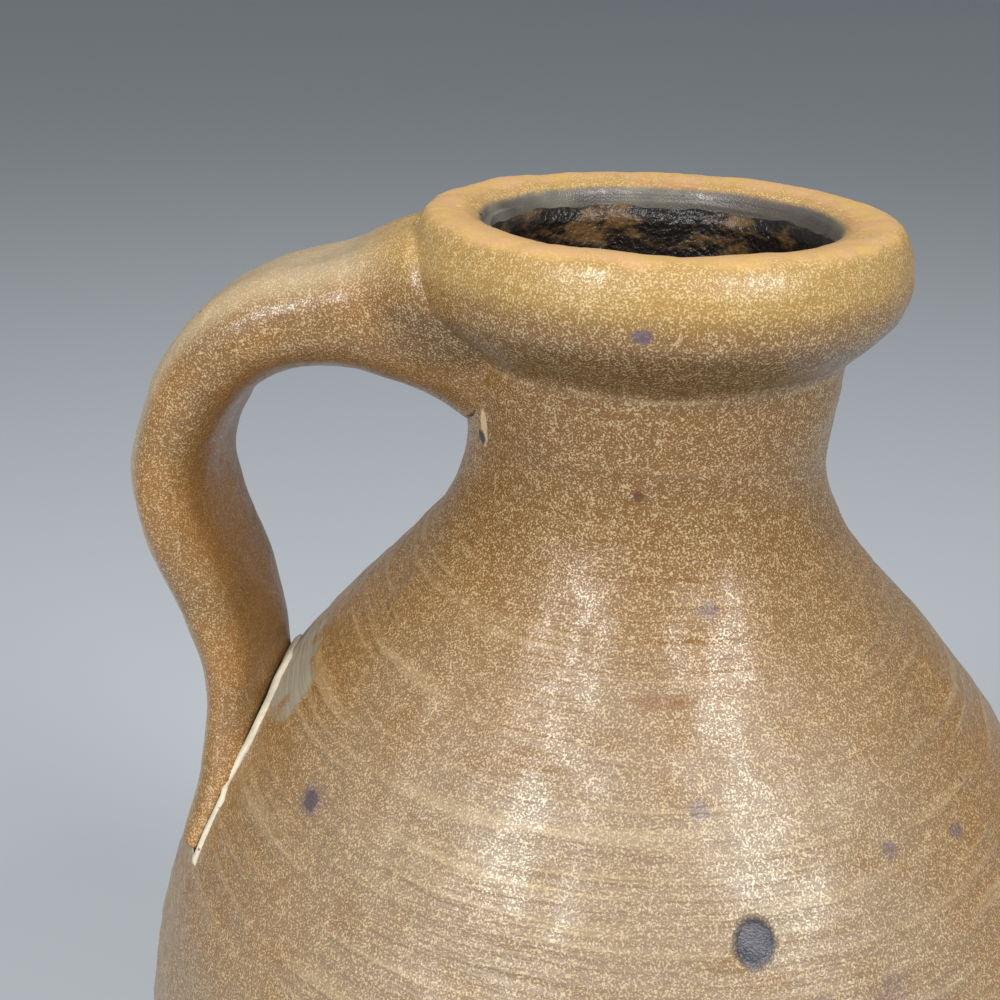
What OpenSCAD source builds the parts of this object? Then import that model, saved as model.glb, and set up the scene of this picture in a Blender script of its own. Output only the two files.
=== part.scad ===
// Salt glazed stoneware jug with a thick rounded lip and one pulled strap handle
// Millimetres, foot centre at the origin, +Z up, handle on the -X side

/* [Body] */
// Height of the mouth plane above the resting face
mouth_z = 243.3; // [190:0.1:300]
// Rise of the domed lip above the mouth plane
lip_rise = 1.3; // [0.5:0.1:4]
// Radius of the belly at its widest
belly_r = 73.7; // [60:0.1:90]
// Height of the widest belly above the resting face
belly_z = 121; // [90:0.1:150]
// Radius of the foot
foot_r = 50; // [40:0.1:58]
// Height of the upright band at the foot
foot_h = 7; // [3:0.1:12]
// Bevel at the edge of the resting face
foot_bevel = 1.6; // [0.5:0.1:3]
// Thickness of the thrown wall
wall = 5; // [4:0.1:7]
// Thickness of the floor
floor_t = 7; // [5:0.1:12]

/* [Neck and lip] */
// Radius of the neck at its narrowest
neck_r = 25.1; // [24:0.1:30]
// Drop from the mouth plane to the narrowest neck
neck_drop = 30.9; // [27:0.1:36]
// Radius of the collar at its widest
lip_r = 33.3; // [31:0.1:38]
// Drop from the mouth plane to the crease under the collar
lip_drop = 16.8; // [14:0.1:20]
// How far the crease under the collar stands out from the narrowest neck
crease_out = 1; // [0.4:0.1:3]
// Radius of the throat
throat_r = 23.1; // [20:0.1:23.5]
// Straight length of the throat
throat_h = 9; // [6:0.1:12]
// Drop from the mouth plane to the top of the straight throat
throat_drop = 1.2; // [0.8:0.1:2]
// Thickness of the neck at its narrowest
neck_wall = 4.5; // [4:0.1:6]

/* [Lining] */
// Thickness of the slip lining
lining_t = 0.4; // [0.3:0.05:0.8]

/* [Handle] */
// Distance from the axis to the outermost centreline of the strap
strap_reach = 67; // [60:0.1:80]
// Distance from the axis to the upper root of the strap
root_x = 24; // [18:0.1:26]
// Drop from the mouth plane to the upper root
root_drop = 14.3; // [12:0.1:20]
// Share of the height from belly to mouth that the strap spans
strap_drop_share = 0.6214; // [0.56:0.001:0.68]
// Sideways lean of the tail towards the front
tail_lean = 7.5; // [0:0.1:10]
// Width of the strap
strap_w = 27; // [20:0.1:32]
// Thickness of the strap at its bend
strap_t = 12; // [8:0.1:14]

/* [Slip beds] */
// Thickness of the slip under each end of the strap
slip_t = 0.7; // [0.4:0.05:1.2]
// Width of the slip left showing round each end
slip_show = 1.3; // [0.6:0.1:2.5]

/* [Hidden] */
$fn = 96;
span_steps = 4;
ring_sides = 24;
route_steps = 4;
corner_share = 0.85;

shoulder_drop_shares = [0.055, 0.129, 0.222, 0.333, 0.444, 0.593, 0.741, 0.889, 1];
shoulder_out_shares = [0.0185, 0.0864, 0.232, 0.424, 0.593, 0.78, 0.907, 0.979, 1];
side_drop_shares = [0.2, 0.4, 0.6, 0.8, 1];
side_in_shares = [0.028, 0.135, 0.33, 0.62, 1];
collar_drop_shares = [0, 0.155, 0.381, 0.6, 0.79, 0.93];
collar_out_shares = [0.77, 0.93, 1, 0.88, 0.5, 0.13];
dome_out_shares = [0.1, 0.36, 0.68, 0.91];
dome_rise_shares = [0.12, 0.72, 1, 0.65];

neck_z = mouth_z - neck_drop;
throat_top = mouth_z - throat_drop;
throat_low = throat_top - throat_h;
crease_r = neck_r + crease_out;
neck_bore_r = neck_r - neck_wall;
root_z = mouth_z - root_drop;
strap_drop = (mouth_z - belly_z) * strap_drop_share;

route_out_shares = [0, 0.2, 0.42, 0.645, 0.83, 0.95, 1, 0.96, 0.872];
tail_out_shares = [0.514, -0.078, -0.289];
route_drop_shares = [0, -0.013, -0.006, 0.021, 0.091, 0.203, 0.32, 0.447, 0.575, 0.725, 0.865, 0.98];
route_thick_shares = [2.1, 1.75, 1.36, 1.18, 1.08, 1, 1, 0.98, 0.9, 0.76, 0.68, 0.45];
route_wide_shares = [1, 0.98, 0.95, 0.96, 0.98, 1, 1, 1, 1, 1.05, 1.18, 1.26];
route_lean_shares = [0, 0, 0, 0, 0, 0, 0, 0, 0, 0.15, 0.55, 1];

function mix(a, b, t) = a + (b - a) * t;
function near_half(a, b, c, t) = mix(mix(a, b, t + 1), mix(b, c, t), (t + 1) / 2);
function far_half(b, c, d, t) = mix(mix(b, c, t), mix(c, d, t - 1), t / 2);
function pass(a, b, c, d, t) = mix(near_half(a, b, c, t), far_half(b, c, d, t), t);
function at(p, i) = p[max(0, min(len(p) - 1, i))];
function curve(p, steps) = [
    for (i = [0 : len(p) - 2])
        for (k = [0 : steps - 1])
            pass(at(p, i - 1), p[i], p[i + 1], at(p, i + 2), k / steps),
    p[len(p) - 1]
];
function way(p, i) = at(p, i + 1) - at(p, i - 1);
function side(v) = [v[1], -v[0]] / norm(v);
function grown(p, d) = [for (i = [0 : len(p) - 1]) p[i] + d * side(way(p, i))];

// Outline of the outside from the foot to the top of the lip
function side_points() = [
    for (i = [len(side_drop_shares) - 1 : -1 : 0])
        [mix(belly_r, foot_r, side_in_shares[i]), mix(belly_z, foot_h, side_drop_shares[i])]
];
function shoulder_points() = [
    for (i = [len(shoulder_drop_shares) - 1 : -1 : 0])
        [mix(neck_r, belly_r, shoulder_out_shares[i]), mix(neck_z, belly_z, shoulder_drop_shares[i])]
];
function neck_points() = [
    [neck_r, neck_z],
    [mix(neck_r, crease_r, 0.4), mix(neck_z, mouth_z - lip_drop, 0.4)],
    [mix(neck_r, crease_r, 0.8), mix(neck_z, mouth_z - lip_drop, 0.8)],
    [crease_r, mouth_z - lip_drop]
];
function collar_points() = [
    for (i = [len(collar_drop_shares) - 1 : -1 : 0])
        [mix(crease_r, lip_r, collar_out_shares[i]), mouth_z - lip_drop * collar_drop_shares[i]]
];
function dome_points() = [
    for (i = [len(dome_out_shares) - 1 : -1 : 0])
        [mix(throat_r, collar_points()[len(collar_drop_shares) - 1][0], dome_out_shares[i]),
         mouth_z + lip_rise * dome_rise_shares[i]]
];
function foot_edge() = [[foot_r - foot_bevel, 0], [foot_r, foot_bevel]];
function wall_points() = concat(side_points(), shoulder_points(), neck_points(), collar_points());
function outside() = concat(
    foot_edge(),
    curve(concat(wall_points(), dome_points(), [[throat_r, throat_top]]), span_steps)
);
function outer_wall() = concat(
    foot_edge(),
    curve(concat(wall_points(), [dome_points()[0], dome_points()[1]]), span_steps)
);

// Outline of the cavity from the foot of the straight throat to the floor
function cavity_points() = concat(
    [[throat_r, throat_low],
     [mix(throat_r, neck_bore_r, 0.4), mix(throat_low, neck_z, 0.4)],
     [mix(throat_r, neck_bore_r, 0.9), mix(throat_low, neck_z, 0.8)],
     [neck_bore_r, neck_z]],
    [for (i = [1 : len(shoulder_drop_shares) - 1])
        [mix(neck_bore_r, belly_r - wall, shoulder_out_shares[i]), mix(neck_z, belly_z, shoulder_drop_shares[i])]],
    [for (i = [0 : len(side_drop_shares) - 1])
        [mix(belly_r - wall, foot_r - wall, side_in_shares[i]),
         mix(belly_z, floor_t + wall, side_drop_shares[i])]]
);
function cavity() = concat(
    curve(cavity_points(), span_steps),
    [for (a = [15 : 15 : 90]) [foot_r - wall - wall + wall * cos(a), floor_t + wall - wall * sin(a)]]
);

module jug_body() {
    color("peru")
        rotate_extrude()
            polygon(concat([[0, 0]], outside(), cavity(), [[0, floor_t]]));
}

module inner_slip_lining() {
    wet = cavity();
    dry = grown(wet, lining_t);
    color("saddlebrown")
        rotate_extrude()
            polygon(concat(wet, [[0, floor_t], [0, floor_t + lining_t]],
                [for (i = [len(dry) - 1 : -1 : 0]) [dry[i][0], min(dry[i][1], throat_low)]]));
}

// Solid outline of the outside, grown by a given thickness
module outer_solid(grow) {
    skin = grown(outer_wall(), grow);
    rotate_extrude()
        polygon(concat([[0, 0], [skin[0][0], 0]], [for (p = skin) [p[0], max(p[1], 0)]],
            [[0, skin[len(skin) - 1][1]]]));
}

// Centreline of the strap with its thickness and width at each station, its tail laid on the wall
wall_table = [for (p = curve(concat(side_points(), shoulder_points()), span_steps)) [p[1], p[0]]];
function tail_x(i, z) = lookup(z, wall_table) + strap_t * tail_out_shares[i - len(route_out_shares)];
function route_x(i, z) =
    i < len(route_out_shares) ? mix(root_x, strap_reach, route_out_shares[i]) : tail_x(i, z);
route = curve([
    for (i = [0 : len(route_drop_shares) - 1])
        let (z = root_z - strap_drop * route_drop_shares[i])
        [-route_x(i, z), z,
         strap_t * route_thick_shares[i] / 2, strap_w * route_wide_shares[i] / 2,
         tail_lean * route_lean_shares[i]]
], route_steps);

function lobe(c) = sign(c) * pow(abs(c), corner_share);
function station(i, grow) =
    let (p = route[i], v = way(route, i), n = side([v[0], v[1]]))
    [for (k = [0 : ring_sides - 1])
        let (a = 360 * k / ring_sides, out = (p[2] + grow) * lobe(sin(a)))
        [p[0] + n[0] * out, (p[3] + grow) * lobe(cos(a)) - p[4], p[1] + n[1] * out]];

module strap_length(first, last, grow) {
    rings = last - first + 1;
    points = [for (i = [first : last]) each station(i, grow)];
    walls = [
        for (i = [0 : rings - 2])
            for (k = [0 : ring_sides - 1])
                let (a = i * ring_sides + k, b = i * ring_sides + (k + 1) % ring_sides)
                each [[a, b + ring_sides, b], [a, a + ring_sides, b + ring_sides]]
    ];
    start = [for (k = [0 : ring_sides - 1]) k];
    end = [for (k = [ring_sides - 1 : -1 : 0]) (rings - 1) * ring_sides + k];
    polyhedron(points, concat(walls, [start], [end]));
}

module strap_handle() {
    color("goldenrod")
        difference() {
            strap_length(0, len(route) - 1, 0);
            outer_solid(slip_t);
        }
}

module slip_bed(first, last) {
    difference() {
        intersection() {
            strap_length(first, last, slip_show);
            outer_solid(slip_t);
        }
        outer_solid(0);
    }
}

module upper_luting_slip() {
    color("wheat")
        slip_bed(0, route_steps * 4);
}

module lower_luting_slip() {
    color("wheat")
        slip_bed(route_steps * 7, len(route) - 1);
}

jug_body();
inner_slip_lining();
strap_handle();
upper_luting_slip();
lower_luting_slip();
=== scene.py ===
"""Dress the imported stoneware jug: salt glaze, brown slip lining, pulled strap handle and pale luting slip."""

import logging
from dataclasses import dataclass, field
from enum import Enum
from typing import Callable, Sequence, Union

import bpy
import numpy as np
import bmesh
from mathutils import Matrix, Vector


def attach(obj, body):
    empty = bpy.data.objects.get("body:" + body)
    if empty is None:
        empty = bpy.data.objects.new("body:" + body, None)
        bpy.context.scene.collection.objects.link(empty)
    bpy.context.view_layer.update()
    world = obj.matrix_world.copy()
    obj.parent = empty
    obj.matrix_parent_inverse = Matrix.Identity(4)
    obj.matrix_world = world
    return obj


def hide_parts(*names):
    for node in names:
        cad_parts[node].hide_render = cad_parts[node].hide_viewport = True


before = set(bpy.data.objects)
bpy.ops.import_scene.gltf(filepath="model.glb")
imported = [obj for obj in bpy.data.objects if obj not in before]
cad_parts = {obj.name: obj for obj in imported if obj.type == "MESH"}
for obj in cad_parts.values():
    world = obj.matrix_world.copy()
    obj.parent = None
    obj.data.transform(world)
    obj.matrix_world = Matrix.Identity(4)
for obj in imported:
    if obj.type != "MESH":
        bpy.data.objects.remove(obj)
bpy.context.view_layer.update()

LOG = logging.getLogger("stoneware_jug")
MM = 0.001
PHOTO_SIDE = 1000.0
Colour = tuple[float, float, float]
Array = np.ndarray


def linear(red: int, green: int, blue: int) -> Colour:
    """Return the linear colour of an eight bit display colour.

    Args:
        red: Red part, 0 to 255.
        green: Green part, 0 to 255.
        blue: Blue part, 0 to 255.

    Returns:
        The three linear parts, by the standard display curve.
    """
    parts = np.array([red, green, blue]) / 255.0
    low, high = parts / 12.92, ((parts + 0.055) / 1.055) ** 2.4
    return tuple(float(v) for v in np.where(parts <= 0.04045, low, high))


# ---------------------------------------------------------------- shapes


def through(points: Array, steps: int) -> Array:
    """Carry a smooth curve through points.

    Each span is the uniform Catmull-Rom cubic: half of
    2b + (c - a)t + (2a - 5b + 4c - d)t^2 + (3b - 3c + d - a)t^3.

    Args:
        points: Rows of any width, in order.
        steps: Samples in each span.

    Returns:
        The sampled rows, the last point included.
    """
    padded = np.vstack([points[:1], points, points[-1:]])
    a, b, c, d = padded[:-3], padded[1:-2], padded[2:-1], padded[3:]
    t = (np.arange(steps) / steps)[None, :, None]
    a, b, c, d = (v[:, None, :] for v in (a, b, c, d))
    spans = (2 * b + (c - a) * t + (2 * a - 5 * b + 4 * c - d) * t**2 + (3 * b - 3 * c + d - a) * t**3) / 2
    return np.vstack([spans.reshape(-1, points.shape[1]), points[-1:]])


def evenly(path: Array, count: int, density: Array | None = None) -> Array:
    """Sample a path again, evenly along its length or by a density.

    Args:
        path: Points along the path.
        count: How many points to return.
        density: Wanted density at each path point, or None for an even spread.

    Returns:
        The new points, both ends kept.
    """
    step = np.linalg.norm(np.diff(path, axis=0), axis=1)
    if density is not None:
        step = step * (density[1:] + density[:-1]) / 2
    length = np.concatenate([[0.0], np.cumsum(step)])
    at = np.linspace(0.0, length[-1], count)
    return np.stack([np.interp(at, length, path[:, k]) for k in range(path.shape[1])], axis=1)


def smooth_step(value: Array, low: float, high: float) -> Array:
    """Return 0 below low and 1 above high, with 3t^2 - 2t^3 between."""
    t = np.clip((value - low) / (high - low), 0.0, 1.0)
    return t * t * (3 - 2 * t)


def ripple(points: Array, pitch: float, seed: int, waves: int = 24) -> Array:
    """Return a smooth random field in space.

    It is a sum of sine waves with random directions, lengths near the pitch and random phases.

    Args:
        points: Places, with x, y and z in the last axis, in metres.
        pitch: Typical wavelength in metres.
        seed: Seed of the random draws.
        waves: How many sines are added.

    Returns:
        Values of about unit spread.
    """
    rng = np.random.default_rng(seed)
    ways = rng.normal(size=(waves, 3))
    ways /= np.linalg.norm(ways, axis=1, keepdims=True)
    ways *= (2 * np.pi / (pitch * rng.uniform(0.7, 1.5, size=(waves, 1))))
    return np.sin(points @ ways.T + rng.uniform(0, 2 * np.pi, waves)).sum(-1) * np.sqrt(2.0 / waves)


def grid_faces(rows: int, cols: int, closed: bool) -> Array:
    """Return the quads of a grid of rows by cols points, closed round the columns if asked."""
    i, j = np.meshgrid(np.arange(rows - 1), np.arange(cols if closed else cols - 1), indexing="ij")
    near, far, after = i * cols, (i + 1) * cols, (j + 1) % cols
    return np.stack([near + j, near + after, far + after, far + j], -1).reshape(-1, 4)


@dataclass
class Surface:
    """A surface as points on a grid, round in its columns, with values carried on its points."""

    points: Array
    values: dict[str, Array] = field(default_factory=dict)
    cap_ends: bool = False

    def mesh(self, name: str) -> bpy.types.Object:
        """Put the grid into a smooth mesh object at the origin.

        Args:
            name: Name of the object and its mesh.

        Returns:
            The linked object, faces outward.
        """
        rows, cols = self.points.shape[:2]
        verts = self.points.reshape(-1, 3)
        faces = grid_faces(rows, cols, True).tolist()
        values = {key: np.asarray(v, float).reshape(-1) for key, v in self.values.items()}
        if self.cap_ends:
            ends = np.stack([self.points[0].mean(0), self.points[-1].mean(0)])
            verts = np.vstack([verts, ends])
            around = np.arange(cols)
            after = (around + 1) % cols
            first, last = rows * cols, rows * cols + 1
            base = (rows - 1) * cols
            faces += np.stack([after, around, np.full(cols, first)], 1).tolist()
            faces += np.stack([base + around, base + after, np.full(cols, last)], 1).tolist()
            values = {
                key: np.concatenate([v, [v[:cols].mean(), v[-cols:].mean()]]) for key, v in values.items()
            }
        mesh = bpy.data.meshes.new(name)
        mesh.from_pydata(verts.tolist(), [], faces)
        for key, value in values.items():
            layer = mesh.attributes.new(key, "FLOAT", "POINT")
            layer.data.foreach_set("value", value.astype(np.float32))
        mesh.update()
        if volume_of(mesh) < 0:
            mesh.flip_normals()
        mesh.polygons.foreach_set("use_smooth", np.ones(len(mesh.polygons), bool))
        piece = bpy.data.objects.new(name, mesh)
        bpy.context.collection.objects.link(piece)
        return piece


def volume_of(mesh: bpy.types.Mesh) -> float:
    """Return the signed volume of a closed mesh, as the sum of its corner tetrahedra."""
    mesh.calc_loop_triangles()
    corners = np.empty(len(mesh.loop_triangles) * 3, np.int32)
    mesh.loop_triangles.foreach_get("vertices", corners)
    co = np.empty(len(mesh.vertices) * 3)
    mesh.vertices.foreach_get("co", co)
    a, b, c = co.reshape(-1, 3)[corners.reshape(-1, 3)].transpose(1, 0, 2)
    return float(np.einsum("ij,ij->i", a, np.cross(b, c)).sum() / 6)


# ---------------------------------------------------------------- shader maths

Number = Union[float, "Socket"]


class Socket:
    """A value inside a node tree that takes part in ordinary arithmetic."""

    def __init__(self, graph: "Graph", out: bpy.types.NodeSocket) -> None:
        """Keep the tree and the output that this value stands for."""
        self.graph = graph
        self.out = out

    def _with(self, kind: str, other: Number, swap: bool = False) -> "Socket":
        """Join this value and another with a Math node, in swapped order if asked."""
        pair = (other, self) if swap else (self, other)
        return self.graph.math(kind, *pair)

    def __add__(self, other: Number) -> "Socket":
        """Add."""
        return self._with("ADD", other)

    __radd__ = __add__

    def __mul__(self, other: Number) -> "Socket":
        """Multiply."""
        return self._with("MULTIPLY", other)

    __rmul__ = __mul__

    def __sub__(self, other: Number) -> "Socket":
        """Subtract the other."""
        return self._with("SUBTRACT", other)

    def __rsub__(self, other: Number) -> "Socket":
        """Subtract from the other."""
        return self._with("SUBTRACT", other, swap=True)

    def __truediv__(self, other: Number) -> "Socket":
        """Divide by the other."""
        return self._with("DIVIDE", other)

    def __pow__(self, other: Number) -> "Socket":
        """Raise to a power."""
        return self._with("POWER", other)

    def __abs__(self) -> "Socket":
        """Drop the sign."""
        return self.graph.math("ABSOLUTE", self)

    def between(self, low: float, high: float) -> "Socket":
        """Return 0 below low and 1 above high, eased between them."""
        node = self.graph.node("ShaderNodeMapRange", {"Value": self, "From Min": low, "From Max": high})
        node.node.interpolation_type = "SMOOTHSTEP"
        return node["Result"]

    def least(self, other: Number) -> "Socket":
        """Return the smaller."""
        return self._with("MINIMUM", other)

    def most(self, other: Number) -> "Socket":
        """Return the greater."""
        return self._with("MAXIMUM", other)


class Made:
    """A node that has just been made, read by the names of its outputs."""

    def __init__(self, graph: "Graph", node: bpy.types.Node) -> None:
        """Keep the tree and the node."""
        self.graph = graph
        self.node = node

    def __getitem__(self, name: str) -> Socket:
        """Return the enabled output of that name."""
        return Socket(self.graph, next(o for o in self.node.outputs if o.name == name and o.enabled))


class Graph:
    """One material's node tree, built as expressions."""

    def __init__(self, name: str) -> None:
        """Make an empty material with a Principled shader on its output."""
        self.material = bpy.data.materials.new(name)
        self.material.use_nodes = True
        self.tree = self.material.node_tree
        self.tree.nodes.clear()
        self.shader = self.tree.nodes.new("ShaderNodeBsdfPrincipled")
        out = self.tree.nodes.new("ShaderNodeOutputMaterial")
        self.tree.links.new(self.shader.outputs["BSDF"], out.inputs["Surface"])
        self.place = self.node("ShaderNodeTexCoord", {})["Object"]

    def feed(self, target: bpy.types.NodeSocket, value: object) -> None:
        """Link a value to an input, or set the input to a constant."""
        if isinstance(value, Socket):
            self.tree.links.new(value.out, target)
        elif target.type == "RGBA":
            target.default_value = (*value, 1.0)
        else:
            target.default_value = value

    def node(self, kind: str, inputs: dict[str, object], **settings: object) -> Made:
        """Make any node.

        Args:
            kind: Blender's name of the node type.
            inputs: Values or sockets by input name.
            **settings: Properties of the node, set before its inputs.

        Returns:
            The node, ready to be read by output name.
        """
        made = self.tree.nodes.new(kind)
        for key, value in settings.items():
            setattr(made, key, value)
        for key, value in inputs.items():
            self.feed(next(i for i in made.inputs if i.name == key and i.enabled), value)
        return Made(self, made)

    def math(self, kind: str, *values: Number) -> Socket:
        """Join values with a Math node of that kind."""
        made = self.tree.nodes.new("ShaderNodeMath")
        made.operation = kind
        for target, value in zip(made.inputs, values):
            self.feed(target, value)
        return Socket(self, made.outputs[0])

    def mix(self, share: Number, first: object, second: object) -> Socket:
        """Blend two colours by a share."""
        made = self.tree.nodes.new("ShaderNodeMix")
        made.data_type = "RGBA"
        self.feed(made.inputs[0], share)
        self.feed(made.inputs[6], first)
        self.feed(made.inputs[7], second)
        return Socket(self, made.outputs[2])

    def vector(self, kind: str, **inputs: object) -> Made:
        """Make a Vector Math node, with its inputs in order."""
        made = self.tree.nodes.new("ShaderNodeVectorMath")
        made.operation = kind
        for target, value in zip(made.inputs, inputs.values()):
            self.feed(target, value)
        return Made(self, made)

    def carried(self, name: str) -> Socket:
        """Read a value carried on the mesh's points."""
        return self.node("ShaderNodeAttribute", {}, attribute_name=name)["Fac"]

    def noise(
        self, pitch: float, detail: float = 2.0, squash: Colour = (1.0, 1.0, 1.0), rough: float = 0.5
    ) -> Socket:
        """Return a noise with features of about that pitch.

        Args:
            pitch: Feature size in metres.
            detail: Octaves of detail.
            squash: How much finer the pattern runs along each axis.
            rough: Weight of the finer octaves.

        Returns:
            Values round one half.
        """
        place = self.vector("MULTIPLY", a=self.place, b=squash)["Vector"]
        inputs = {"Vector": place, "Scale": 1.0 / pitch, "Detail": detail, "Roughness": rough}
        return self.node("ShaderNodeTexNoise", inputs)["Fac"]

    def specks(self, pitch: float, radius: float, keep: float) -> Socket:
        """Return round specks, one in some cells.

        Args:
            pitch: Cell size in metres.
            radius: Speck radius in metres.
            keep: Share of the cells without a speck.

        Returns:
            1 inside a speck and 0 elsewhere.
        """
        cell = self.node("ShaderNodeTexVoronoi", {"Vector": self.place, "Scale": 1.0 / pitch})
        drawn = self.node("ShaderNodeSeparateColor", {"Color": cell["Color"]})
        near = 1.0 - cell["Distance"].between(0.4 * radius / pitch, radius / pitch)
        return near * self.math("GREATER_THAN", drawn["Red"], keep)

    def blot(self, centre: Colour, size: Colour, ragged: float = 0.0, soft: float = 0.25) -> Socket:
        """Return an oval blot in space.

        Args:
            centre: Its middle, in metres.
            size: Half sizes along the axes, in metres.
            ragged: How far its edge wanders, as a share of its size.
            soft: Width of the soft edge, as a share of its size.

        Returns:
            1 inside and 0 outside.
        """
        away = self.vector("SUBTRACT", a=self.place, b=centre)["Vector"]
        scaled = self.vector("DIVIDE", a=away, b=size)["Vector"]
        reach = self.vector("LENGTH", a=scaled)["Value"]
        if ragged:
            reach = reach + (self.noise(min(size) * 0.8, 3.0) - 0.5) * (2.0 * ragged)
        return 1.0 - reach.between(1.0 - soft, 1.0 + soft)

    def relief(self, height: Socket, depth: float, below: Socket | None = None) -> Socket:
        """Turn a height in shares of depth, in metres, into a bumped normal."""
        inputs: dict[str, object] = {"Height": height, "Distance": depth, "Strength": 1.0}
        if below is not None:
            inputs["Normal"] = below
        return self.node("ShaderNodeBump", inputs)["Normal"]

    def finish(self, constants: dict[str, object], **inputs: object) -> bpy.types.Material:
        """Feed the shader and return the material.

        Args:
            constants: Fixed values by the shader's input names.
            **inputs: Varying inputs, with spaces written as underscores.

        Returns:
            The finished material.
        """
        for key, value in constants.items():
            self.feed(self.shader.inputs[key], value)
        for key, value in inputs.items():
            self.feed(self.shader.inputs[key.replace("_", " ")], value)
        return self.material


# ---------------------------------------------------------------- finishes


@dataclass(frozen=True)
class Blot:
    """One stain or drip on the glaze."""

    centre: Colour
    size: Colour
    tint: Colour
    strength: float = 0.9
    ragged: float = 0.25


def at_glaze(azimuth: float, height: float, radius: float) -> Colour:
    """Return the place on the outside at an azimuth in degrees, with height and radius in millimetres."""
    turn = np.radians(azimuth)
    return (float(radius * np.cos(turn) * MM), float(radius * np.sin(turn) * MM), height * MM)


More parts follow.
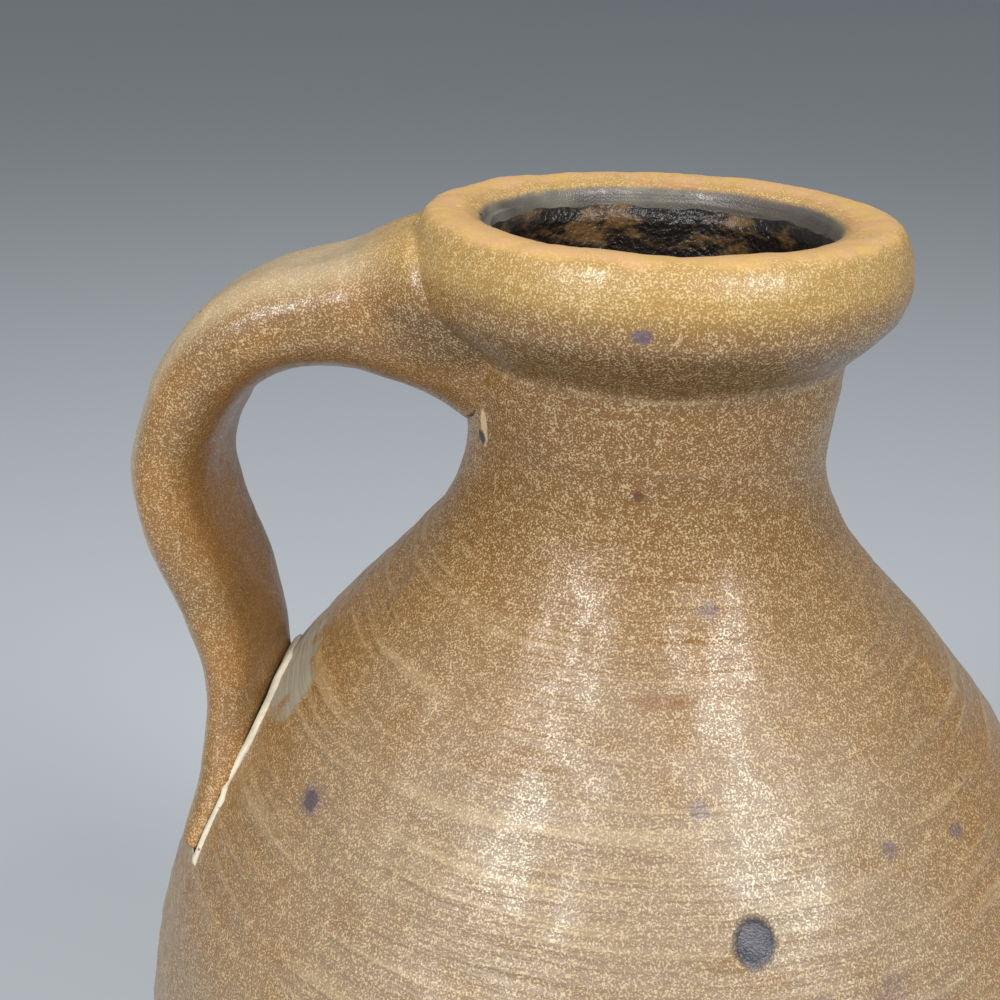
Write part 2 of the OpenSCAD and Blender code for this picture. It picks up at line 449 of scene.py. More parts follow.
@dataclass(frozen=True)
class SaltGlaze:
    """Pebbled salt glaze over tan stoneware, bare peach clay on the lip and grey in the throat."""

    tan: Colour = linear(152, 116, 70)
    # pale: colour of the painted sheen on the lower front of the wall
    pale: Colour = linear(174, 156, 132)
    gold: Colour = linear(158, 112, 50)
    brown: Colour = linear(92, 62, 30)
    # olive: colour of the painted shade under the collar
    painted_shade_olive: Colour = linear(104, 76, 40)
    cream: Colour = linear(226, 202, 156)
    yellow: Colour = linear(208, 168, 92)
    peach: Colour = linear(206, 160, 116)
    terracotta: Colour = linear(178, 112, 78)
    throat: Colour = linear(92, 86, 80)
    # cobalt: the blue-black of the drips, also used as the painted shade of a small pit
    cobalt_and_pit_shade: Colour = linear(30, 34, 52)
    violet: Colour = linear(98, 84, 98)
    rust: Colour = linear(132, 84, 44)
    grey: Colour = linear(160, 156, 138)
    neck_z: float = 214 * MM
    crease_z: float = 226.2 * MM
    underside_z: float = 229.5 * MM
    rim_z: float = 235.5 * MM
    bare_z: float = 243.2 * MM
    ring_top_z: float = 206 * MM

    def pebble(self, graph: Graph) -> tuple[Socket, Socket]:
        """Return the pebbled skin of the glaze.

        Its height is a fine noise of about 0.25 mm, broken by a coarser one. The crests are the pale tops.

        Args:
            graph: The material's tree.

        Returns:
            The height, and the share of pale pebble tops.
        """
        fine = graph.noise(0.26 * MM, 1.0, rough=0.6)
        broad = graph.noise(1.1 * MM, 2.0)
        height = fine * 0.78 + broad * 0.22
        return height, height.between(0.48, 0.66)

    def stains(self) -> tuple[Blot, ...]:
        """Return the drips and spots of the glaze and the painted shade of a pit, each where it lies on the
        wall.
        """
        small = (1.3 * MM, 1.3 * MM, 1.2 * MM)
        shaded_pit, shaded_pit_size = (-21.9 * MM, -12.7 * MM, 215.6 * MM), (1.3 * MM, 1.1 * MM, 1.0 * MM)
        return (
            Blot(at_glaze(-138.9, 171.9, 53.9), (1.4 * MM, 1.4 * MM, 1.3 * MM), self.cobalt_and_pit_shade, 0.7, 0.5),
            Blot(at_glaze(-78.4, 182.0, 45.8), small, self.violet, 0.5, 0.7),
            Blot(at_glaze(-72.0, 200.2, 29.6), small, self.violet, 0.45, 0.8),
            Blot(at_glaze(-50.0, 175.0, 51.5), small, self.violet, 0.5, 0.7),
            Blot(at_glaze(-36.0, 173.0, 53.0), small, self.violet, 0.5, 0.7),
            Blot(at_glaze(-138.9, 171.9, 53.9), (2.6 * MM, 2.6 * MM, 2.4 * MM), self.violet, 0.4, 0.8),
            Blot((-21.2 * MM, -13.4 * MM, 217.4 * MM), (0.9 * MM, 0.9 * MM, 2.6 * MM), self.cream, 0.8, 0.4),
            # Painted shade: a near-black spot stands for the shade inside a small pit near the strap's root;
            # the wall is not hollowed there.
            Blot(shaded_pit, shaded_pit_size, self.cobalt_and_pit_shade, 0.95, 0.4),
            Blot(at_glaze(-62.0, 157.0, 63.4), (14 * MM, 14 * MM, 7 * MM), self.violet, 0.35, 0.7),
            Blot(at_glaze(-91.0, 213.5, 25.2), (0.7 * MM, 0.7 * MM, 0.8 * MM), self.brown, 0.9, 0.3),
            Blot(at_glaze(-92.0, 236.0, 33.2), (1.2 * MM, 1.2 * MM, 0.9 * MM), self.violet, 0.8, 0.4),
        )

    def gloss(self) -> dict[str, object]:
        """Return the fixed shine of the fired glaze."""
        return {"IOR": 1.5, "Specular IOR Level": 0.5, "Coat Roughness": 0.24, "Coat IOR": 1.6}

    def drip(self) -> tuple[Colour, Colour, float]:
        """Return the place, half size and raggedness of the glossy blue drip."""
        return at_glaze(-72.7, 169.9, 55.2), (2.6 * MM, 2.6 * MM, 3.2 * MM), 0.15

    def colour(self, graph: Graph, radius: Socket, height: Socket, tops: Socket) -> Socket:
        """Return the colour of the outside, the lip and the throat.

        Args:
            graph: The material's tree.
            radius: Distance from the axis, in metres.
            height: Height above the resting face, in metres.
            tops: Share of pale pebble tops.

        Returns:
            The colour.
        """
        cloud = graph.noise(28 * MM, 3.0)
        drift = graph.noise(9 * MM, 2.0, (1.0, 1.0, 1.7))
        axes = graph.node("ShaderNodeSeparateXYZ", {"Vector": graph.place})
        front = (axes["Y"] * -1.0 / radius.most(1 * MM)).between(0.35, 0.98)
        base = graph.mix(cloud.between(0.35, 0.65), self.tan, self.gold)
        # Painted sheen: the lower front of the wall, the side turned to the lamps, is lightened in streaks to a
        # pale tone.
        front_sheen = front * (1.0 - height.between(176 * MM, 206 * MM))
        base = graph.mix(front_sheen * drift.between(0.05, 0.55) * 0.8, base, self.pale)
        neck = 1.0 - abs(height - self.neck_z).between(6 * MM, 22 * MM)
        neck = neck * (1.0 - radius.between(30 * MM, 44 * MM))
        base = graph.mix(neck * 0.85, base, graph.mix(0.4, self.gold, self.brown))
        # Painted shade: the collar's downward-facing underside is darkened to olive.
        under = 1.0 - abs(height - self.underside_z).between(2 * MM, 6.5 * MM)
        under = under * radius.between(25.6 * MM, 27 * MM)
        base = graph.mix(under * 0.85, base, self.painted_shade_olive)
        rim = height.between(self.rim_z, self.rim_z + 4.5 * MM)
        base = graph.mix(rim * 0.85, base, self.yellow)
        base = graph.mix((1.0 - tops) * 0.4, base, self.brown)
        base = graph.mix(tops * 0.55, base, self.cream)
        edge = height + (graph.noise(5 * MM, 3.0) - 0.5) * (3.0 * MM)
        bare = edge.between(self.bare_z, self.bare_z + 1.2 * MM)
        skin = graph.mix(graph.noise(4 * MM, 4.0).between(0.3, 0.7), self.peach, self.yellow)
        skin = graph.mix((1.0 - radius.between(24.0 * MM, 26.4 * MM)) * 0.9, skin, self.terracotta)
        base = graph.mix(bare * 0.8, base, skin)
        inside = (1.0 - radius.between(23.5 * MM, 24.3 * MM)) * height.between(200 * MM, 204 * MM)
        return graph.mix(inside, base, graph.mix(drift.between(0.35, 0.75) * 0.5, self.throat, self.grey))

    def material(self) -> bpy.types.Material:
        """Build the salt glaze."""
        graph = Graph("salt_glaze")
        axes = graph.node("ShaderNodeSeparateXYZ", {"Vector": graph.place})
        radius = (axes["X"] * axes["X"] + axes["Y"] * axes["Y"]) ** 0.5
        height = axes["Z"]
        pebbles, tops = self.pebble(graph)
        base = self.colour(graph, radius, height, tops)
        rings = graph.noise(1.25 * MM, 2.0, (0.035, 0.035, 1.0), 0.55)
        # Painted highlight: the crests of the throwing rings are lightened towards cream, as if they caught the
        # light.
        ring_crest_highlight = rings.between(0.5, 0.72)
        patchy = graph.noise(30 * MM).between(0.3, 0.6).most(0.35)
        ring_share = (1.0 - height.between(self.ring_top_z - 10 * MM, self.ring_top_z)).most(0.25) * patchy
        base = graph.mix(ring_crest_highlight * ring_share * 0.22, base, self.cream)
        wet = graph.blot(*self.drip())
        for stain in self.stains():
            mark = graph.blot(stain.centre, stain.size, stain.ragged) * stain.strength
            base = graph.mix(mark, base, stain.tint)
        base = graph.mix(wet * 0.96, base, self.cobalt_and_pit_shade)
        streak = graph.blot(at_glaze(-83.0, 191.5, 36.9), (4.2 * MM, 3 * MM, 0.7 * MM), 0.5)
        base = graph.mix(streak * 0.55, base, self.rust)
        iron = graph.specks(6.5 * MM, 0.55 * MM, 0.72)
        base = graph.mix(iron * 0.8, base, self.brown)
        pale_line = 1.0 - abs(height - self.crease_z).between(0.15 * MM, 0.5 * MM)
        pale_line = pale_line * (1.0 - radius.between(26.6 * MM, 28 * MM))
        pale_line = pale_line * graph.noise(6 * MM).between(0.4, 0.6)
        base = graph.mix(pale_line * radius.between(24.5 * MM, 25.2 * MM) * 0.15, base, self.cream)
        smear = graph.carried("bare_smear")
        base = graph.mix(smear, base, self.grey)
        bare = height.between(242.4 * MM, 243.6 * MM)
        rough = 0.3 + bare * 0.3 + smear * 0.3 + graph.noise(6 * MM, 2.0) * 0.1
        calm = (1.0 - smear * 0.7) * (1.0 - bare * 0.5) * (1.0 - wet * 0.4)
        normal = graph.relief(rings * ring_share * (1.0 - wet), 0.8 * MM)
        normal = graph.relief(pebbles * calm - iron * 0.6, 0.11 * MM, normal)
        shine = (0.08 + tops * 0.5) * (1.0 - wet * 0.9) * (1.0 - bare * 0.8) * (1.0 - smear * 0.7)
        return graph.finish(self.gloss(), Base_Color=base, Roughness=rough, Coat_Weight=shine, Normal=normal)


@dataclass(frozen=True)
class StrapGlaze(SaltGlaze):
    """The same glaze on the pulled handle, coarser on its edges and smoother inside, with painted sheen on its
    outer face and painted shade on its inner face.
    """

    gold: Colour = linear(182, 130, 64)
    # band: colour of the painted sheen on the strap's outer face
    band: Colour = linear(198, 178, 142)
    # umber: colour of the painted shade on the strap's inner face
    painted_shade_umber: Colour = linear(124, 86, 42)

    def material(self) -> bpy.types.Material:
        """Build the handle's glaze from the strap's own carried values."""
        graph = Graph("handle_glaze")
        outer = graph.carried("outer_face")
        edge = graph.carried("strap_edge")
        inner = graph.carried("inner_face")
        pebbles, tops = self.pebble(graph)
        cloud = graph.noise(14 * MM, 3.0)
        base = graph.mix(cloud.between(0.35, 0.65), self.gold, self.tan)
        # Painted sheen: the strap's outer face, turned up to the light, is lightened to a pale band.
        base = graph.mix(outer.between(0.3, 0.75) * 0.8, base, self.band)
        # Painted shade: the strap's inner face, turned down and towards the wall, is darkened to umber.
        base = graph.mix(inner * 0.7, base, self.painted_shade_umber)
        low = 1.0 - graph.carried("along").between(0.35, 0.75)
        base = graph.mix(edge * (1.0 - low) * 0.35, base, self.brown)
        base = graph.mix((1.0 - tops) * (0.26 + edge * low * 0.3), base, self.brown)
        base = graph.mix(tops * (0.45 - inner * 0.3), base, self.cream)
        iron = graph.specks(6.0 * MM, 0.6 * MM, 0.66)
        base = graph.mix(iron * 0.85, base, self.brown)
        axes = graph.node("ShaderNodeSeparateXYZ", {"Vector": graph.place})
        radius = (axes["X"] * axes["X"] + axes["Y"] * axes["Y"]) ** 0.5
        base = graph.mix(graph.carried("wallward"), base, self.colour(graph, radius, axes["Z"], tops))
        rough = 0.32 + graph.noise(5 * MM, 2.0) * 0.12
        normal = graph.relief(graph.noise(3.2 * MM, 2.0), 0.16 * MM)
        normal = graph.relief(pebbles * (1.0 - inner * 0.45) - iron * 0.6, 0.13 * MM, normal)
        shine = 0.08 + tops * 0.6
        return graph.finish(self.gloss(), Base_Color=base, Roughness=rough, Coat_Weight=shine, Normal=normal)


@dataclass(frozen=True)
class BrownSlip:
    """Dark glossy slip with pale grit and thin brown patches."""

    dark: Colour = linear(26, 21, 17)
    thin: Colour = linear(112, 84, 50)
    grit: Colour = linear(196, 184, 160)

    def material(self) -> bpy.types.Material:
        """Build the slip of the lining."""
        graph = Graph("brown_slip")
        patch = graph.noise(9 * MM, 4.0, (1.0, 1.0, 2.5), 0.65)
        base = graph.mix(patch.between(0.48, 0.64) * 0.85, self.dark, self.thin)
        grit = graph.specks(2.2 * MM, 0.3 * MM, 0.75)
        base = graph.mix(grit * 0.5, base, self.grit)
        rough = 0.22 + patch * 0.2
        normal = graph.relief(graph.noise(0.8 * MM, 3.0) + grit * 0.5, 0.35 * MM)
        fixed = {"IOR": 1.5, "Specular IOR Level": 0.5}
        return graph.finish(fixed, Base_Color=base, Roughness=rough, Normal=normal)


@dataclass(frozen=True)
class PaleSlip:
    """Smooth pale slip squeezed out where the strap was luted on, with a dark crack beside it."""

    cream: Colour = linear(226, 216, 192)
    grey: Colour = linear(168, 168, 150)
    crack: Colour = linear(34, 28, 22)

    def material(self) -> bpy.types.Material:
        """Build the pale slip."""
        graph = Graph("luting_slip")
        crack = graph.carried("crack")
        base = graph.mix(graph.noise(3 * MM, 3.0).between(0.45, 0.7) * 0.5, self.cream, self.grey)
        base = graph.mix(crack, base, self.crack)
        base = graph.mix(graph.specks(2.2 * MM, 0.3 * MM, 0.75) * 0.7, base, self.crack)
        normal = graph.relief(graph.noise(0.9 * MM, 3.0), 0.12 * MM)
        rough = 0.42 + graph.noise(2 * MM, 2.0) * 0.2
        return graph.finish({"IOR": 1.48}, Base_Color=base, Roughness=rough, Normal=normal)


@dataclass(frozen=True)
class StudioPaper:
    """Plain pale paper for the floor."""

    tone: Colour = linear(206, 212, 216)

    def material(self) -> bpy.types.Material:
        """Build the paper."""
        graph = Graph("studio_paper")
        base = graph.mix(graph.noise(0.3, 2.0) * 0.1, self.tone, linear(196, 203, 208))
        rough = 0.9 + graph.noise(0.2) * 0.02
        return graph.finish({"Specular IOR Level": 0.2}, Base_Color=base, Roughness=rough)


# ---------------------------------------------------------------- the thrown jug


SIDE_SHARES = [(0.028, 0.2), (0.135, 0.4), (0.33, 0.6), (0.62, 0.8), (1, 1)]
SHOULDER_SHARES = [
    (0.0864, 0.129), (0.232, 0.222), (0.424, 0.333), (0.593, 0.444),
    (0.78, 0.593), (0.907, 0.741), (0.979, 0.889), (1, 1),
]


@dataclass
class ThrownBody:
    """The jug thrown in one piece, from the foot to the collar and down inside. Sizes in millimetres."""

    mouth_z: float = 243.3
    lip_rise: float = 1.3
    belly_r: float = 73.7
    belly_z: float = 121.0
    foot_r: float = 50.0
    foot_h: float = 7.0
    foot_bevel: float = 1.6
    wall: float = 5.0
    floor_t: float = 7.0
    neck_r: float = 25.1
    neck_drop: float = 30.9
    lip_r: float = 33.3
    lip_drop: float = 16.8
    crease_r: float = 26.1
    throat_r: float = 23.1
    throat_h: float = 9.0
    throat_drop: float = 1.2
    neck_bore_r: float = 20.6
    around: int = 480
    rows: int = 200

    def __post_init__(self) -> None:
        """Work out the two outlines."""
        self.neck_z = self.mouth_z - self.neck_drop
        self.outside = self._outside()
        self.cavity = self._cavity()

    def _ladder(
        self, radii: tuple[float, float], levels: tuple[float, float], pairs: Sequence[tuple[float, float]]
    ) -> Array:
        """Return points between two radii and two levels, by pairs of shares."""
        start, end = np.array([radii, levels]).T
        return start + (end - start) * np.array(pairs)

    def _outside(self) -> Array:
        """Return the outline from the foot over the lip to the top of the throat."""
        shoulder = [(0.0185, 0.055), *SHOULDER_SHARES]
        neck = [(0, 0), (0.4, 0.4), (0.8, 0.8), (1, 1)]
        collar = [(0.77, 0), (0.93, 0.155), (1, 0.381), (0.88, 0.6), (0.5, 0.79), (0.13, 0.93)]
        dome = [(0.1, 0.12), (0.36, 0.72), (0.68, 1), (0.91, 0.65)]
        crease_z, top_z = self.mouth_z - self.lip_drop, self.mouth_z + self.lip_rise
        band = self._ladder((self.crease_r, self.lip_r), (self.mouth_z, crease_z), collar)[::-1]
        path = np.vstack([
            self._ladder((self.belly_r, self.foot_r), (self.belly_z, self.foot_h), SIDE_SHARES)[::-1],
            self._ladder((self.neck_r, self.belly_r), (self.neck_z, self.belly_z), shoulder)[::-1],
            self._ladder((self.neck_r, self.crease_r), (self.neck_z, crease_z), neck),
            band,
            self._ladder((self.throat_r, band[-1, 0]), (self.mouth_z, top_z), dome)[::-1],
            [[self.throat_r, self.mouth_z - self.throat_drop]],
        ])
        foot = [[self.foot_r - self.foot_bevel, 0.0], [self.foot_r, self.foot_bevel]]
        return np.vstack([foot, through(path, 8)])

    def _cavity(self) -> Array:
        """Return the outline of the hollow from the foot of the throat to the floor."""
        low = self.mouth_z - self.throat_drop - self.throat_h
        throat = [(0, 0), (0.4, 0.4), (0.9, 0.8), (1, 1)]
        inner, heel = self.belly_r - self.wall, (self.foot_r - self.wall, self.floor_t + self.wall)
        path = np.vstack([
            self._ladder((self.throat_r, self.neck_bore_r), (low, self.neck_z), throat),
            self._ladder((self.neck_bore_r, inner), (self.neck_z, self.belly_z), SHOULDER_SHARES),
            self._ladder((inner, heel[0]), (self.belly_z, heel[1]), SIDE_SHARES),
        ])
        turn = np.radians(np.arange(15, 91, 15))
        corner = np.stack([
            self.foot_r - 2 * self.wall + self.wall * np.cos(turn),
            self.floor_t + self.wall * (1 - np.sin(turn)),
        ], 1)
        return np.vstack([through(path, 8), corner])

    def radius_at(self, height: Array) -> Array:
        """Return the outer radius below the crease at a height, both in millimetres."""
        low = self.outside[self.outside[:, 1] < self.mouth_z - self.lip_drop]
        return np.interp(height, low[:, 1], low[:, 0])

    def depth(self, points: Array) -> Array:
        """Return how far points lie outside the outer wall, negative inside.

        It is the distance to the nearest point of the outline in the half plane of radius and height, signed
        by that point's outward side.

        Args:
            points: Places in millimetres.

        Returns:
            The signed distances.
        """
        line = evenly(self.outside, 700)
        way = np.gradient(line, axis=0)
        out = np.stack([way[:, 1], -way[:, 0]], 1)
        flat = np.stack([np.hypot(points[..., 0], points[..., 1]), points[..., 2]], -1).reshape(-1, 2)
        near = ((flat[:, None, :] - line[None]) ** 2).sum(-1).argmin(1)
        gap = flat - line[near]
        side = np.sign((gap * out[near]).sum(1))
        return (np.linalg.norm(gap, axis=1) * side).reshape(points.shape[:-1])

    def surface(self) -> Surface:
        """Return the whole skin, outside and inside, as rings round the axis.

        Each ring is the outline's point swept round. The wall then swells by slow waves, by the maker's
        finger rings and by small lumps on the lip.
        """
        line = np.vstack([[[0.5, 0.0]], self.outside, self.cavity, [[0.5, self.floor_t]]])
        height = line[:, 1]
        outer = np.zeros(len(line))
        outer[1 : len(self.outside) + 1] = 1
        closer = 1.4 * smooth_step(height, 120, 160) + 2.0 * smooth_step(height, 215, 235)
        density = 0.35 + outer * (0.8 + closer)
        line = evenly(line, self.rows, density)
        turn = np.linspace(0, 2 * np.pi, self.around, endpoint=False)
        ring, level = line[:, 0][:, None], line[:, 1][:, None]
        points = np.stack([ring * np.cos(turn), ring * np.sin(turn), level + 0 * turn], -1)
        way = np.gradient(line, axis=0)
        out = np.stack([way[:, 1], -way[:, 0]], 1)
        out /= np.linalg.norm(out, axis=1, keepdims=True)
        place = points * MM
        outer = (self.depth(points) > -1.0) & (ring > self.throat_r - 0.2)
        calm = smooth_step(level, 3, 12)
        finger = np.sin(level / 1.9 + 0.35 * np.sin(turn * 2 + level / 17)) * 0.07
        finger = finger * (1 - smooth_step(level, 196, 206)) * smooth_step(level, 60, 110)
        lumps = ripple(place, 16 * MM, 3) * 0.09 + ripple(place, 5 * MM, 4) * 0.05
        rim = ripple(place, 12 * MM, 5) * 0.05 + ripple(place, 2.5 * MM, 6) * 0.025
        rim = rim * smooth_step(level, 239, 243)
        push = (lumps * (1 - 0.5 * smooth_step(level, 236, 242)) + finger + rim - 0.22) * calm * outer
        points[..., 0] += push * out[:, 0][:, None] * np.cos(turn)
        points[..., 1] += push * out[:, 0][:, None] * np.sin(turn)
        points[..., 2] += push * out[:, 1][:, None]
        points[..., 2] = np.minimum(points[..., 2], self.mouth_z + self.lip_rise - 0.02)
        smear = self._smear(points, turn)
        return Surface(points * MM, {"bare_smear": smear}, cap_ends=True)

    def _smear(self, points: Array, turn: Array) -> Array:
        """Return the share of bare slip smear in the corner above the strap's tail."""
        away = np.hypot((points[..., 1] + 7.0) / 12.0, (points[..., 2] - 176.0) / 4.4)
        away = away + 0.16 * ripple(points * MM, 5 * MM, 8)
        left = (points[..., 0] < 0) & (np.hypot(points[..., 0], points[..., 1]) > 30)
        return 0.85 * (1 - smooth_step(away, 0.8, 1.15)) * left

    def build(self) -> bpy.types.Object:
        """Make the thrown body in place of its CAD node."""
        piece = self.surface().mesh("thrown_body")
        piece.data.materials.append(SaltGlaze().material())
        return placed(piece, "jug_body")


@dataclass
class SlipLining:
    """The brown slip poured round the inside, a thin skin with a wavering upper edge."""

    body: ThrownBody
    thick: float = 0.4
    top: float = 240.4
    around: int = 240
    rows: int = 120

    def build(self) -> bpy.types.Object:
        """Make the lining as a thin closed skin.

        The dry side follows the hollow's outline, just under the wall, and the wet side lies one thickness
        further in. Both climb to an edge that wavers by a sum of sines.
        """
        hollow = np.vstack([[[self.body.throat_r, self.top]], self.body.cavity, [[0.5, self.body.floor_t]]])
        hollow = evenly(hollow, self.rows)
        way = np.gradient(hollow, axis=0)
        inward = np.stack([way[:, 1], -way[:, 0]], 1)
        inward /= np.linalg.norm(inward, axis=1, keepdims=True)
        inward *= np.sign((inward * (np.array([[0.0, 120.0]]) - hollow)).sum(1))[:, None]
        under = hollow - 0.15 * inward
        skin = hollow + self.thick * inward
        loop = np.vstack([under[::-1], skin])
        turn = np.linspace(0, 2 * np.pi, self.around, endpoint=False)
        ring, level = loop[:, 0][:, None], loop[:, 1][:, None]
        points = np.stack([ring * np.cos(turn), ring * np.sin(turn), level + 0 * turn], -1)
        edge = smooth_step(level, 233, 240)
        waver = 0.25 * np.sin(3 * turn + 1) + 0.2 * np.sin(11 * turn) + 0.12 * np.sin(29 * turn)
        points[..., 2] += edge * waver
        piece = Surface(points * MM, {}, cap_ends=True).mesh("slip_lining")
        piece.data.materials.append(BrownSlip().material())
        return placed(piece, "inner_slip_lining")


# ---------------------------------------------------------------- the strap


class JointEnd(Enum):
    """The two places where the strap is luted to the body."""

    UPPER = "upper"
    LOWER = "lower"


@dataclass
class StrapHandle:
    """The pulled strap from the collar to the shoulder. Sizes in millimetres."""

    body: ThrownBody
    reach: float = 67.0
    root_x: float = 24.0
    root_z: float = 229.0
    drop: float = 76.0
    lean: float = 7.5
    wide: float = 27.0
    thick: float = 12.0
    corner: float = 0.85
    stations: int = 300
    sides: int = 128
    root_flare: float = 4.2
    root_run: float = 9.0
    tail_flare: float = 1.2
    tail_run: float = 3.0

    def route(self) -> Array:
        """Return rows of x, z, half thickness, half width and lean along the centreline."""
        out = [0, 0.2, 0.42, 0.645, 0.83, 0.95, 1, 0.96, 0.872, 0.803, 0.812, 0.872]
        down = [0, -0.013, -0.006, 0.021, 0.091, 0.203, 0.32, 0.447, 0.575, 0.725, 0.865, 0.98]
        thick = [2.1, 1.75, 1.36, 1.18, 1.08, 1, 1, 0.98, 0.9, 0.76, 0.68, 0.45]
        wide = [1, 0.98, 0.95, 0.96, 0.98, 1, 1, 1, 1, 1.05, 1.18, 1.26]
        lean = [0, 0, 0, 0, 0, 0, 0, 0, 0, 0.15, 0.55, 1]
        rows = np.stack([
            -(self.root_x + (self.reach - self.root_x) * np.array(out)),
            self.root_z - self.drop * np.array(down),
            self.thick * np.array(thick) / 2,
            self.wide * np.array(wide) / 2,
            self.lean * np.array(lean),
        ], 1)
        return evenly(through(rows, 12), self.stations)

    def skin(self) -> Array:
        """Return the strap's surface.

        A station's ring is an oval: width times a power of the cosine across, thickness times a power of the
        sine along the route's normal.

        Returns:
            Points by station and side, in millimetres.
        """
        route = self.route()
        way = np.gradient(route[:, :2], axis=0)
        way /= np.linalg.norm(way, axis=1, keepdims=True)
        normal = np.stack([way[:, 1], -way[:, 0]], 1)
        turn = np.linspace(0, 2 * np.pi, self.sides, endpoint=False)
        lobes = np.stack([np.sin(turn), np.cos(turn)])
        lobes = np.sign(lobes) * np.abs(lobes) ** self.corner
        out = route[:, 2][:, None] * lobes[0]
        across = route[:, 3][:, None] * lobes[1] - route[:, 4][:, None]
        return np.stack([
            route[:, 0][:, None] + normal[:, 0][:, None] * out,
            across,
            route[:, 1][:, None] + normal[:, 1][:, None] * out,
        ], -1)

    def build(self) -> bpy.types.Object:
        """Make the strap with soft lumps, long pulled grooves and its ends sunk in the wall."""
        points = self.skin()
        turn = np.linspace(0, 2 * np.pi, self.sides, endpoint=False)[None, :]
        along = np.linspace(0, 1, self.stations)[:, None]
        centre = points.mean(1, keepdims=True)
        outward = points - centre
        outward /= np.linalg.norm(outward, axis=-1, keepdims=True)
        grooves = 0.14 * np.sin(turn * 9 + 2 * np.sin(along * 5)) * np.clip(np.sin(turn), 0, 1)
        lumps = 0.11 * ripple(points * MM, 12 * MM, 11) + 0.03 * ripple(points * MM, 3.5 * MM, 12)
        gap = self.body.depth(points)
        upper = along < 0.5
        most = np.where(upper, self.root_flare, self.tail_flare)
        run = np.where(upper, self.root_run, self.tail_run)
        flare = most * np.clip(1 - np.clip(gap, 0, None) / run, 0, 1) ** 2
        flare = flare * (1 - smooth_step(points[..., 2], 237, 243)) * (1 - 0.6 * np.clip(-np.sin(turn), 0, 1))
        points = points + outward * (grooves + lumps + flare)[..., None]
        points[..., 2] = np.minimum(points[..., 2], self.body.mouth_z + 0.4)
        seat = self.root_x - np.sqrt(np.clip(self.root_x**2 - points[..., 1] ** 2, 100, None))
        points[..., 0] += seat * (1 - smooth_step(along, 0.0, 0.075))
        face = np.sin(turn) + 0 * along
        root = 1 - smooth_step(gap, 0.5, self.root_run)
        tail = 0.8 * (1 - smooth_step(gap, 0.2, self.tail_run))
        values = {
            "outer_face": np.clip(face, 0, 1),
            "inner_face": smooth_step(-face, 0.35, 0.8),
            "strap_edge": 1 - smooth_step(np.abs(face), 0.3, 0.75),
            "along": along + 0 * turn,
            "wallward": np.where(upper, root, tail),
        }
        ring = points[:1]
        middle = ring.mean(1, keepdims=True)
        seated = middle + (ring - middle) * np.array([0.04, 0.35, 0.7])[:, None, None]
        seated[..., 0] = -np.sqrt(self.root_x**2 - seated[..., 1] ** 2)
        points = np.concatenate([seated, points])
        values = {key: np.concatenate([v[:1], v[:1], v[:1], v]) for key, v in values.items()}
        piece = Surface(points * MM, values, cap_ends=True).mesh("strap")
        piece.data.materials.append(StrapGlaze().material())
        return placed(piece, "strap_handle")


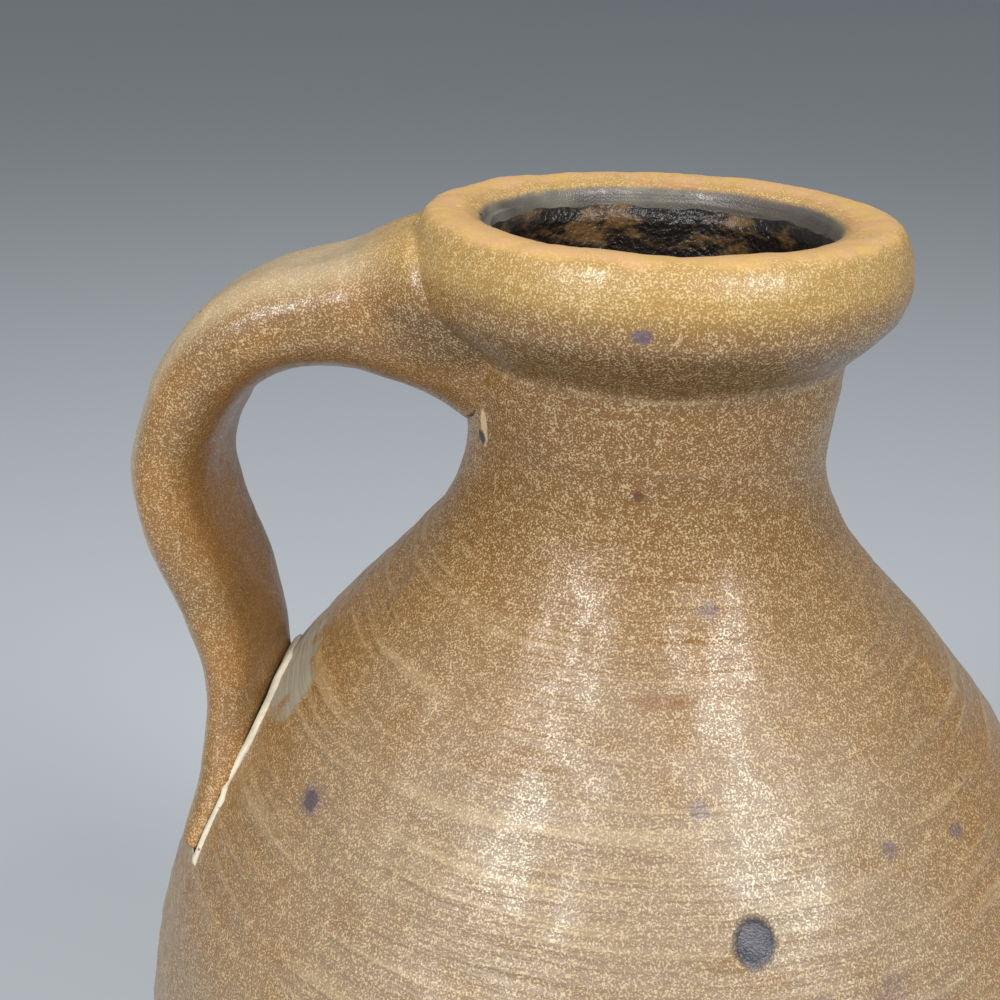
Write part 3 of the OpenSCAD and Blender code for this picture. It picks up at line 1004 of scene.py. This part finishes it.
@dataclass
class LutedJoint:
    """The clay and slip pressed round one end of the strap.

    Round the strap a narrow skin runs from the strap's side down to the wall. A ring is a curve of three
    control points: on the strap above the joint, at the joint, and on the wall beyond it.
    """

    body: ThrownBody
    strap: StrapHandle
    end: JointEnd
    steps: int = 14

    def joint_rows(self) -> tuple[Array, Array]:
        """Return, for each side of the strap, the station where it meets the wall and the strap's points."""
        skin = self.strap.skin()
        depth = self.body.depth(skin[::2, ::2])
        outside = depth > 0
        count = len(outside)
        if self.end is JointEnd.UPPER:
            station = outside.argmax(0) * 2
        else:
            station = (count - 1 - outside[::-1].argmax(0)) * 2
        return station, skin[:, ::2]

    def spread(self, side: Array) -> tuple[Array, Array]:
        """Return how far the skin climbs the strap and runs out on the wall, by side, in millimetres."""
        if self.end is JointEnd.UPPER:
            return 0.8 + 0 * side, 0.9 + 0 * side
        return 0.5 + 0 * side, 1.7 + 0.3 * np.sin(3 * side) + 0.2 * np.sin(11 * side)

    def onto_wall(self, points: Array, lift: float) -> Array:
        """Move points along the wall's outward side until they lie a lift above it."""
        for _ in range(4):
            gap = self.body.depth(points) - lift
            step = 0.05
            flat = points.copy()
            reach = np.hypot(points[..., 0], points[..., 1])[..., None]
            radial = np.concatenate([points[..., :2] / reach, 0 * reach], -1)
            rise = np.zeros_like(points)
            rise[..., 2] = 1
            slope_r = (self.body.depth(flat + radial * step) - self.body.depth(flat)) / step
            slope_z = (self.body.depth(flat + rise * step) - self.body.depth(flat)) / step
            points = points - gap[..., None] * (slope_r[..., None] * radial + slope_z[..., None] * rise)
        return points

    def build(self) -> bpy.types.Object:
        """Make the skin round the joint as a closed ring of rings."""
        station, skin = self.joint_rows()
        sides = skin.shape[1]
        pick = np.arange(sides)
        side = 2 * np.pi * pick / sides
        climb, run = self.spread(side)
        pitch = np.linalg.norm(np.diff(skin.mean(1), axis=0), axis=1).mean()
        sign = 1 if self.end is JointEnd.UPPER else -1
        up = np.clip(station + sign * np.round(climb / pitch).astype(int), 0, len(skin) - 1)
        joint, high = skin[station, pick], skin[up, pick]
        joint = sum(np.roll(joint, k, axis=0) for k in range(-3, 4)) / 7
        centre = joint.mean(0)
        spoke = joint - centre
        spoke /= np.linalg.norm(spoke, axis=1, keepdims=True)
        if self.end is JointEnd.UPPER:
            lifts = (0.0, 0.06)
        else:
            lifts = (0.5, 0.05)
        joint = self.onto_wall(joint, lifts[0])
        if self.end is JointEnd.LOWER:
            joint = self.onto_wall(joint + spoke * 1.5, lifts[0])
        far = self.onto_wall(joint + spoke * run[:, None], lifts[1])
        t = np.linspace(0, 1, self.steps)[:, None, None]
        if self.end is JointEnd.UPPER:
            curve = (1 - t) ** 2 * high + 2 * t * (1 - t) * joint + t**2 * far
        else:
            ridge = self.onto_wall((joint + far) / 2, 0.9)
            near = self.onto_wall(joint - spoke * 1.6, -0.2)
            curve = (1 - t) ** 2 * near + 2 * t * (1 - t) * ridge + t**2 * far
        buried = self.onto_wall(curve, -0.6)
        ring = np.concatenate([curve, buried[::-1]], 0)
        ring = ring.transpose(1, 0, 2)
        share = np.concatenate([np.linspace(0, 1, self.steps), np.linspace(1, 0, self.steps)])
        ragged = 0.06 * np.sin(7 * side) + 0.05 * np.sin(23 * side + 1)
        crack = 1 - smooth_step(share[None, :] + ragged[:, None], 0.38, 0.5)
        values = {"crack": crack, "bare_smear": 0 * crack}
        loop = np.concatenate([ring, ring[:1]], 0)
        values = {key: np.concatenate([v, v[:1]], 0) for key, v in values.items()}
        name = f"{self.end.value}_slip"
        piece = Surface(loop * MM, values).mesh(name)
        glaze = SaltGlaze() if self.end is JointEnd.UPPER else PaleSlip()
        piece.data.materials.append(glaze.material())
        merge_seam(piece)
        return placed(piece, f"{self.end.value}_luting_slip")


def merge_seam(piece: bpy.types.Object) -> None:
    """Weld the first and last ring of a closed tube."""
    work = bmesh.new()
    work.from_mesh(piece.data)
    bmesh.ops.remove_doubles(work, verts=work.verts, dist=1e-7)
    bmesh.ops.recalc_face_normals(work, faces=work.faces)
    work.to_mesh(piece.data)
    work.free()
    piece.data.update()


def placed(piece: bpy.types.Object, node: str) -> bpy.types.Object:
    """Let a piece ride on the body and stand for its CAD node."""
    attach(piece, "root")
    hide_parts(node)
    return piece


# ---------------------------------------------------------------- studio


@dataclass
class Studio:
    """The floor, the lamps and the camera that sees the jug as the photograph does."""

    focal_px: float = 1400.0
    distance: float = 186.12 * MM
    eye_z: float = 279.07 * MM
    pan: float = -0.109
    tilt: float = 0.393
    roll: float = 0.024
    sensor: float = 36.0

    def camera(self) -> None:
        """Place the camera from its distance, pan, tilt and roll."""
        data = bpy.data.cameras.new("camera")
        data.sensor_width = self.sensor
        data.lens = self.focal_px / PHOTO_SIDE * self.sensor
        data.clip_start = 0.01
        ahead = np.array([
            np.sin(self.pan) * np.cos(self.tilt), np.cos(self.pan) * np.cos(self.tilt), -np.sin(self.tilt)
        ])
        right = np.cross(ahead, [0.0, 0.0, 1.0])
        right /= np.linalg.norm(right)
        up = np.cross(right, ahead)
        cos, sin = np.cos(self.roll), np.sin(self.roll)
        axes = np.stack([cos * right + sin * up, -sin * right + cos * up, -ahead], 1)
        camera = bpy.data.objects.new("camera", data)
        place = Matrix.Translation((0.0, -self.distance, self.eye_z))
        camera.matrix_world = place @ Matrix(axes.tolist()).to_4x4()
        bpy.context.collection.objects.link(camera)
        bpy.context.scene.camera = camera

    def lamp(self, name: str, place: Colour, size: tuple[float, float], power: float) -> None:
        """Hang a soft rectangular lamp that looks at the jug's neck."""
        data = bpy.data.lights.new(name, "AREA")
        data.shape = "RECTANGLE"
        data.size, data.size_y = size
        data.energy = power
        lamp = bpy.data.objects.new(name, data)
        toward = np.array([0.0, 0.0, 0.19]) - np.array(place)
        lamp.location = place
        lamp.rotation_euler = Vector(toward.tolist()).to_track_quat("-Z", "Y").to_euler()
        bpy.context.collection.objects.link(lamp)

    def floor(self) -> None:
        """Lay the floor, which rises behind as a smooth sweep.

        The sweep is flat until its bend, then a quarter circle, then upright.
        """
        wide = 8.0
        bend = np.radians(np.linspace(0, 90, 17))
        depth = np.concatenate([[-6.0], 6.0 + 2.0 * np.sin(bend), [8.0]])
        rise = np.concatenate([[0.0], 2.0 - 2.0 * np.cos(bend), [5.0]])
        left = np.stack([-wide + 0 * depth, depth, rise], 1)
        verts = np.concatenate([left, left * np.array([-1.0, 1.0, 1.0])])
        count = len(depth)
        i = np.arange(count - 1)
        faces = np.stack([i, i + count, i + count + 1, i + 1], 1)
        mesh = bpy.data.meshes.new("floor")
        mesh.from_pydata(verts.tolist(), [], faces.tolist())
        mesh.polygons.foreach_set("use_smooth", np.ones(len(mesh.polygons), bool))
        mesh.update()
        floor = bpy.data.objects.new("floor", mesh)
        floor.data.materials.append(StudioPaper().material())
        bpy.context.collection.objects.link(floor)

    def build(self) -> None:
        """Set the view transform, the world, the lamps, the floor and the camera."""
        scene = bpy.context.scene
        scene.view_settings.view_transform = "Standard"
        world = bpy.data.worlds.new("soft_room")
        world.use_nodes = True
        world.node_tree.nodes["Background"].inputs["Color"].default_value = (0.93, 0.96, 1.0, 1.0)
        world.node_tree.nodes["Background"].inputs["Strength"].default_value = 0.27
        scene.world = world
        self.lamp("window_left", (-0.36, -0.58, 0.72), (0.14, 0.38), 5.0)
        self.lamp("window_right", (0.50, -0.46, 0.78), (0.16, 0.40), 5.0)
        self.lamp("sky_panel", (0.0, 0.35, 1.1), (1.0, 0.6), 2.0)
        self.floor()
        self.camera()


def main() -> None:
    """Build the jug and its studio, and report each piece."""
    logging.basicConfig(level=logging.INFO, format="%(name)s: %(message)s")
    Studio().build()
    body = ThrownBody()
    strap = StrapHandle(body)
    makers: tuple[Callable[[], bpy.types.Object], ...] = (
        body.build,
        SlipLining(body).build,
        strap.build,
        LutedJoint(body, strap, JointEnd.UPPER).build,
        LutedJoint(body, strap, JointEnd.LOWER).build,
    )
    for maker in makers:
        piece = maker()
        LOG.info("%s: %d faces", piece.name, len(piece.data.polygons))


if __name__ == "__main__":
    main()
